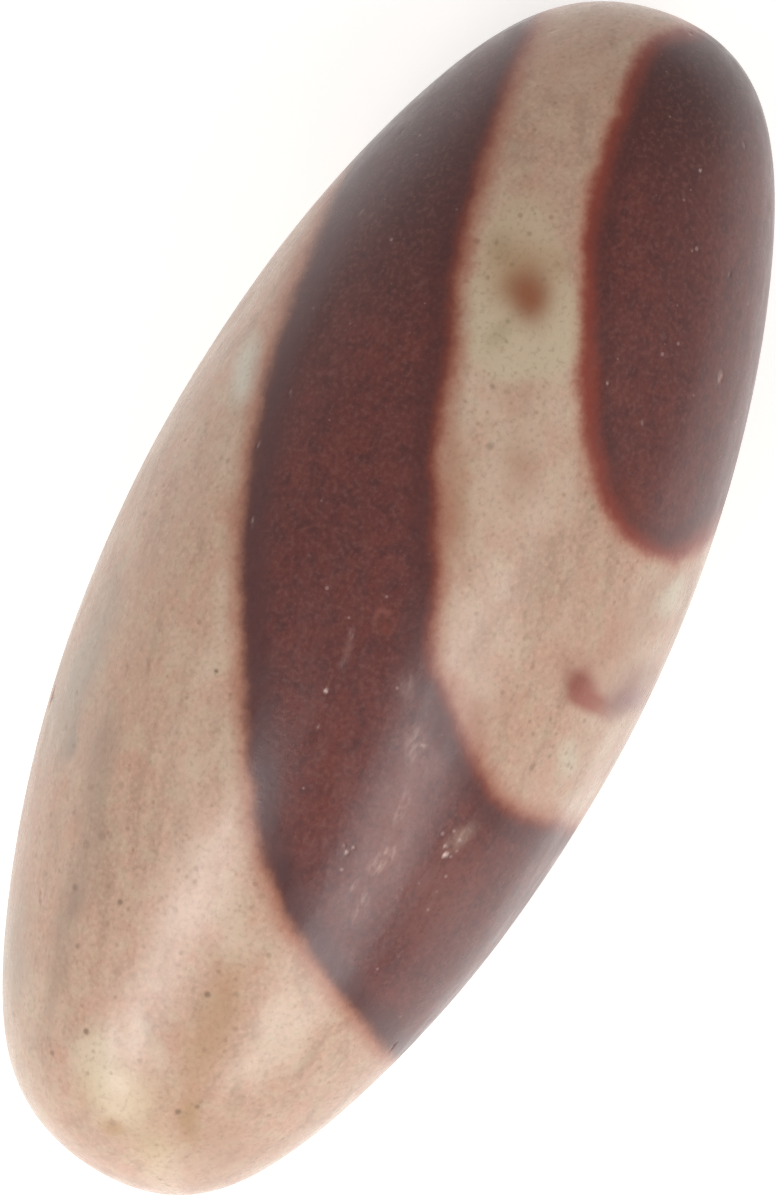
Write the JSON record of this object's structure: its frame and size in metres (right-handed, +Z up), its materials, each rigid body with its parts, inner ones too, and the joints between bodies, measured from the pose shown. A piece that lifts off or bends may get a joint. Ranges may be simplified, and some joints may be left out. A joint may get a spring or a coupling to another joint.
{
  "type": "shiva lingam stone",
  "caption": "Polished egg-shaped river stone with maroon and rose-tan bands, a solid palm or display stone that lies on its flattest side.",
  "frame": {"origin": "on the surface that the stone rests on, under the middle of its length and breadth", "axes": "+X along the stone towards its slightly slimmer end, +Y across it, +Z up from the resting flat"},
  "size_m": [0.1, 0.0432, 0.04],
  "materials": {
    "polished_banded_stone": "hand polished, semi-gloss, maroon bands through a rose-tan ground"
  },
  "bodies": {
    "root": {"stone": "polished_banded_stone"}
  },
  "joints": []
}
